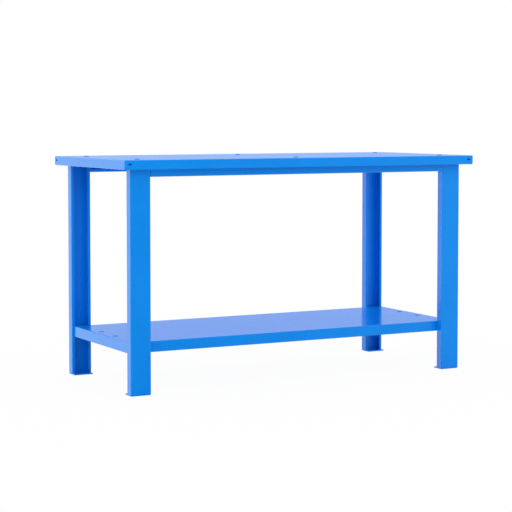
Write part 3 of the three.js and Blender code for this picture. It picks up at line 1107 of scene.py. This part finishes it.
@dataclass
class LegFrame(Assembly):
    """Legs with their plates, the cross rails between them, and the welds that join them."""

    bead: float = 0.002
    bead_inset: float = 0.0005
    seam_above: float = 0.001
    seam_below: float = 0.005

    def build(self) -> None:
        """Makes the four legs with their plates and welds, and the five cross rails."""
        for corner in CORNERS:
            self.leg(corner)
            self.plates(corner)
            self.welds(corner)
        for at in ("left", "right", "middle"):
            self.cross_rail(f"upper_cross_rail_{at}", f"top_bolt_{{}}_{at}")
        for at in ("left", "right"):
            self.cross_rail(f"lower_cross_rail_{at}", f"shelf_bolt_{{}}_{at}")

    def leg(self, corner: Corner) -> None:
        """A leg: a lipped channel whose web looks out of the table, bored in its inner flange.

        Args:
            corner: The corner of the table.
        """
        node = f"leg_{corner.name}"
        low, high = box_of(node)
        width, depth, height = high - low
        out = corner.row.value
        web = corner.row.outer(low[1], high[1])
        stand = Place([(low[0] + high[0]) / 2, web, low[2]], (-out, 0, 0), (0, -out, 0))
        inner_flange = 3 if corner.side.value == out else 1
        holes = [Hole(depth / 2, bolt[2] - low[2], BOLT_HOLE) for bolt in corner.rail_bolts()]
        strip = FoldedStrip(lipped_channel(width, depth), SHEET, stand, height, {inner_flange: holes})
        self.shop.sheet(f"leg_sheet_{corner.name}", strip.surface(), SHEET, (0, out, 0), node)

    def plates(self, corner: Corner) -> None:
        """The foot plate under a leg and the cap plate on it, which is bored for a bolt of the top.

        Args:
            corner: The corner of the table.
        """
        bore = Hole(*middle_of(f"top_bolt_{corner.name}")[:2], BOLT_HOLE)
        for kind, hole in (("foot", None), ("leg_cap", bore)):
            node = f"{kind}_plate_{corner.name}"
            low, high = box_of(node)
            face = Plate(low, high, hole).surface()
            self.shop.sheet(f"{kind}_steel_{corner.name}", face, high[2] - low[2], UP, node, PLATE_RIM)

    def welds(self, corner: Corner) -> None:
        """The beads of a corner: round the inside of the leg on the foot plate, and down the lips where the
        cross rails go in.

        Args:
            corner: The corner of the table.
        """
        low, high = box_of(f"leg_{corner.name}")
        inward = -corner.row.value
        web = corner.row.outer(low[1], high[1]) + inward * SHEET
        mouth = corner.row.inner(low[1], high[1])
        floor = box_of(f"foot_plate_{corner.name}")[1][2]
        left, right, gap = low[0] + SHEET, high[0] - SHEET, self.bead_inset
        runs = [((left + gap, web, floor), (right - gap, web, floor), (0, inward, 1))]
        for wall, way in ((left, 1), (right, -1)):
            runs.append(((wall, web + inward * gap, floor), (wall, mouth, floor), (way, 0, 1)))
        for rail in ("upper", "lower"):
            rail_low, rail_high = box_of(f"{rail}_cross_rail_{corner.side.word}")
            foot, head = rail_low[2] + self.seam_above, rail_high[2] - self.seam_below
            for wall, way in ((rail_low[0], -1), (rail_high[0], 1)):
                runs.append(((wall, mouth, foot), (wall, mouth, head), (way, inward, 0)))
        beads = [WeldBead(*map(np.array, run), self.bead).grid() for run in runs]
        self.shop.solid(f"leg_welds_{corner.name}", beads, Slot.PAINT, (), WELD_ANGLE)

    def cross_rail(self, node: str, bolt: str) -> None:
        """A cross rail: a channel with its web uppermost, bored for its two bolts.

        Args:
            node: The rail's node.
            bolt: The name of its bolts, with a gap for the row.
        """
        low, high = box_of(node)
        width, length, depth = high - low
        run = Place([(low[0] + high[0]) / 2, low[1], high[2]], (-1, 0, 0), (0, 0, -1), (0, 1, 0))
        bolts = [middle_of(bolt.format(row.word)) for row in Row]
        holes = [Hole(high[0] - place[0], place[1] - low[1], BOLT_HOLE) for place in bolts]
        web = 1
        strip = FoldedStrip(plain_channel(width, depth), SHEET, run, length, {web: holes})
        self.shop.sheet(f"{node}_sheet", strip.surface(), SHEET, UP, node)


@dataclass
class LongRails(Assembly):
    """The front and back rails, with the bolted plates in their ends."""

    plate: float = 0.004
    bore: float = 0.0043

    def build(self) -> None:
        """Makes both rails, each with its two end plates."""
        for row in Row:
            self.rail(row)
            for side in Side:
                self.end_plate(Corner(row, side))

    def rail(self, row: Row) -> None:
        """A rail: a lipped channel along the table, its web looking out.

        Args:
            row: The front or the back.
        """
        node = f"{row.word}_rail"
        low, high = box_of(node)
        length, depth, width = high - low
        out = row.value
        start = [low[0], row.outer(low[1], high[1]), (low[2] + high[2]) / 2]
        run = Place(start, (0, 0, out), (0, -out, 0), (1, 0, 0))
        strip = FoldedStrip(lipped_channel(width, depth), SHEET, run, length)
        self.shop.sheet(f"{node}_sheet", strip.surface(), SHEET, (0, out, 0), node)

    def end_plate(self, corner: Corner) -> None:
        """The plate in a rail's end, with two nuts welded on behind it.

        Args:
            corner: The corner of the table.
        """
        node = f"rail_end_plate_{corner.name}"
        low, high = box_of(node)
        side, bolts = corner.side, corner.rail_bolts()
        outer = side.outer(low[0], high[0])
        holes = [Hole(bolt[1], bolt[2], self.bore) for bolt in bolts]
        wide = lines([low[1], high[1]], cell_lines(holes, 0))
        tall = lines([low[2], high[2]], cell_lines(holes, 1))
        face = Surface()
        face.pierced(wide, tall, holes, Place([outer, 0, 0], (0, 1, 0), UP))
        outward = (side.value, 0, 0)
        self.shop.sheet(f"rail_end_steel_{corner.name}", face, self.plate, outward, node, PLATE_RIM)
        behind, height = outer - side.value * self.plate, high[0] - low[0] - self.plate
        nuts = [Turned.lying(side, behind, bolt).hex_nut(height) for bolt in bolts]
        self.shop.solid(f"rail_weld_nuts_{corner.name}", nuts, Slot.PAINT, ())


@dataclass
class Stiffeners(Assembly):
    """Hat sections under the top and the shelf, stitched on with short welds along their brims."""

    crown: float = 0.044
    depth: float = 0.028
    brim: float = 0.018
    stitch: float = 0.03
    stitch_pitch: float = 0.12
    bead: float = 0.0017

    def build(self) -> None:
        """Makes the two hats of the top, across it, and the one of the shelf, along it."""
        for side in Side:
            self.hat(f"top_stiffener_{side.word}", SHEET, 1)
        self.hat("shelf_stiffener", SHELF_SHEET, 0)

    def hat(self, node: str, sheet: float, axis: int) -> None:
        """One hat, whose upper path hangs from 0 with its brims against that line, and its stitches.

        Args:
            node: The hat's node.
            sheet: The thickness of its sheet.
            axis: The axis that it runs along, 0 for X and 1 for Y.
        """
        low, high = box_of(node)
        length = high[axis] - low[axis]
        along, up = np.eye(3)[axis], np.array(UP)
        across = np.cross(up, along)
        start = (low + high) / 2 - along * length / 2
        start[2] = high[2]
        half, floor = self.crown / 2 - sheet, sheet - self.depth
        edge = half + self.brim
        path = [(edge, 0), (half, 0), (half, floor), (-half, floor), (-half, 0), (-edge, 0)]
        strip = FoldedStrip(path, sheet, Place(start, across, up, along), length)
        self.shop.sheet(f"{node}_sheet", strip.surface(), sheet, UP, node)
        count = int((length - self.stitch) / self.stitch_pitch) + 1
        places = (np.arange(count) - (count - 1) / 2) * self.stitch_pitch + length / 2
        beads = []
        for place, way in product(places, (-1, 1)):
            foot = start + way * edge * across + (place - self.stitch / 2) * along
            beads.append(WeldBead(foot, foot + self.stitch * along, way * across - up, self.bead).grid())
        self.shop.solid(f"{node}_stitches", beads, Slot.PAINT, (), WELD_ANGLE)


# Studio


@dataclass
class Studio:
    """The floor, the light and the camera. The walls and the ceiling are what mirrored rays meet: pairs of a
    place from -1 to 1 and its colour there."""

    focal_pixels: float = 1625.66
    sensor: float = 36.0
    place: tuple = (-3.0460, -5.6098, 1.0074)
    heading: float = -28.161
    downward: float = 3.150
    level_shift: float = -51.0
    view_depth: float = 200.0
    floor_size: float = 60.0
    floor_lines: int = 9
    floor_gap: float = 0.0002
    far_wall: tuple = (
        (-1.0, grey(1.55)),
        (-0.2, grey(1.5)),
        (0.4, (0.51, 0.645, 1.0, 1)),
        (1.0, (0.5, 0.63, 0.97, 1)),
    )
    near_wall: tuple = ((-0.9, grey(1.2)), (-0.4, grey(0.1)), (0.4, grey(0.0)), (0.9, grey(0.9)))
    near_to_far: tuple = ((-0.3, grey(0.0)), (0.3, grey(1.0)))
    wall_to_ceiling: tuple = ((0.3, grey(0.0)), (0.9, grey(1.0)))
    ceiling: tuple = grey(1.2)
    matt_light: tuple = grey(0.98)

    def build(self) -> None:
        """Lays the floor, lights the room and sets up the camera."""
        self.floor()
        self.light()
        self.camera()

    def floor(self) -> None:
        """A wide floor just under the feet of the table."""
        across = np.linspace(-self.floor_size / 2, self.floor_size / 2, self.floor_lines)
        made = Surface()
        made.patch(Place([0, 0, CAD_BOX[0].z - self.floor_gap]).grid(across[None], across[:, None], 0.0))
        floor = made.piece("studio_floor", UP)
        floor.data.materials.append(StudioFloor().material())
        floor.visible_glossy = False

    def light(self) -> None:
        """An even white room. Matt surfaces and the camera get plain white from all sides. Mirrored rays
        meet a room that is bright overhead and on the left, blue on the right, and dim behind the camera."""
        world = bpy.data.worlds.new("studio")
        bpy.context.scene.world = world
        shader = Shader(world)
        world.cycles.sampling_method = "NONE"
        place = shader.node("ShaderNodeTexCoord").outputs["Generated"]
        axes = shader.node("ShaderNodeSeparateXYZ", {"Vector": place}).outputs
        near, far = (shader.ramp(axes["X"], wall) for wall in (self.near_wall, self.far_wall))
        walls = shader.blend(shader.ramp(axes["Y"], self.near_to_far), near, far)
        room = shader.blend(shader.ramp(axes["Z"], self.wall_to_ceiling), walls, self.ceiling)
        path = shader.node("ShaderNodeLightPath").outputs
        lit = shader.blend(path["Is Glossy Ray"], self.matt_light, room)
        seen = shader.blend(path["Is Camera Ray"], lit, grey(1.0))
        back = shader.node("ShaderNodeBackground", {"Color": seen, "Strength": 1.0})
        shader.finish(back.outputs[0], "ShaderNodeOutputWorld")

    def camera(self) -> None:
        """The camera of the photograph, fitted to the table's edges, its picture shifted by a tenth."""
        lens = bpy.data.cameras.new("camera")
        lens.sensor_width = self.sensor
        lens.lens = self.focal_pixels / PHOTO_SIZE * self.sensor
        lens.shift_y = self.level_shift / PHOTO_SIZE
        lens.clip_end = self.view_depth
        camera = bpy.data.objects.new("camera", lens)
        bpy.context.scene.collection.objects.link(camera)
        camera.location = self.place
        camera.rotation_euler = (math.radians(90 - self.downward), 0, math.radians(self.heading))
        bpy.context.scene.camera = camera


def main() -> None:
    """Sets up the studio, then builds the table in it piece by piece."""
    logging.basicConfig(level=logging.INFO, format="%(name)s: %(message)s")
    bpy.context.scene.view_settings.view_transform = "Standard"
    Studio().build()
    shop = Workshop()
    for assembly in (TableTop, Shelf, LegFrame, LongRails, Stiffeners, Fasteners):
        assembly(shop).build()


if __name__ == "__main__":
    main()
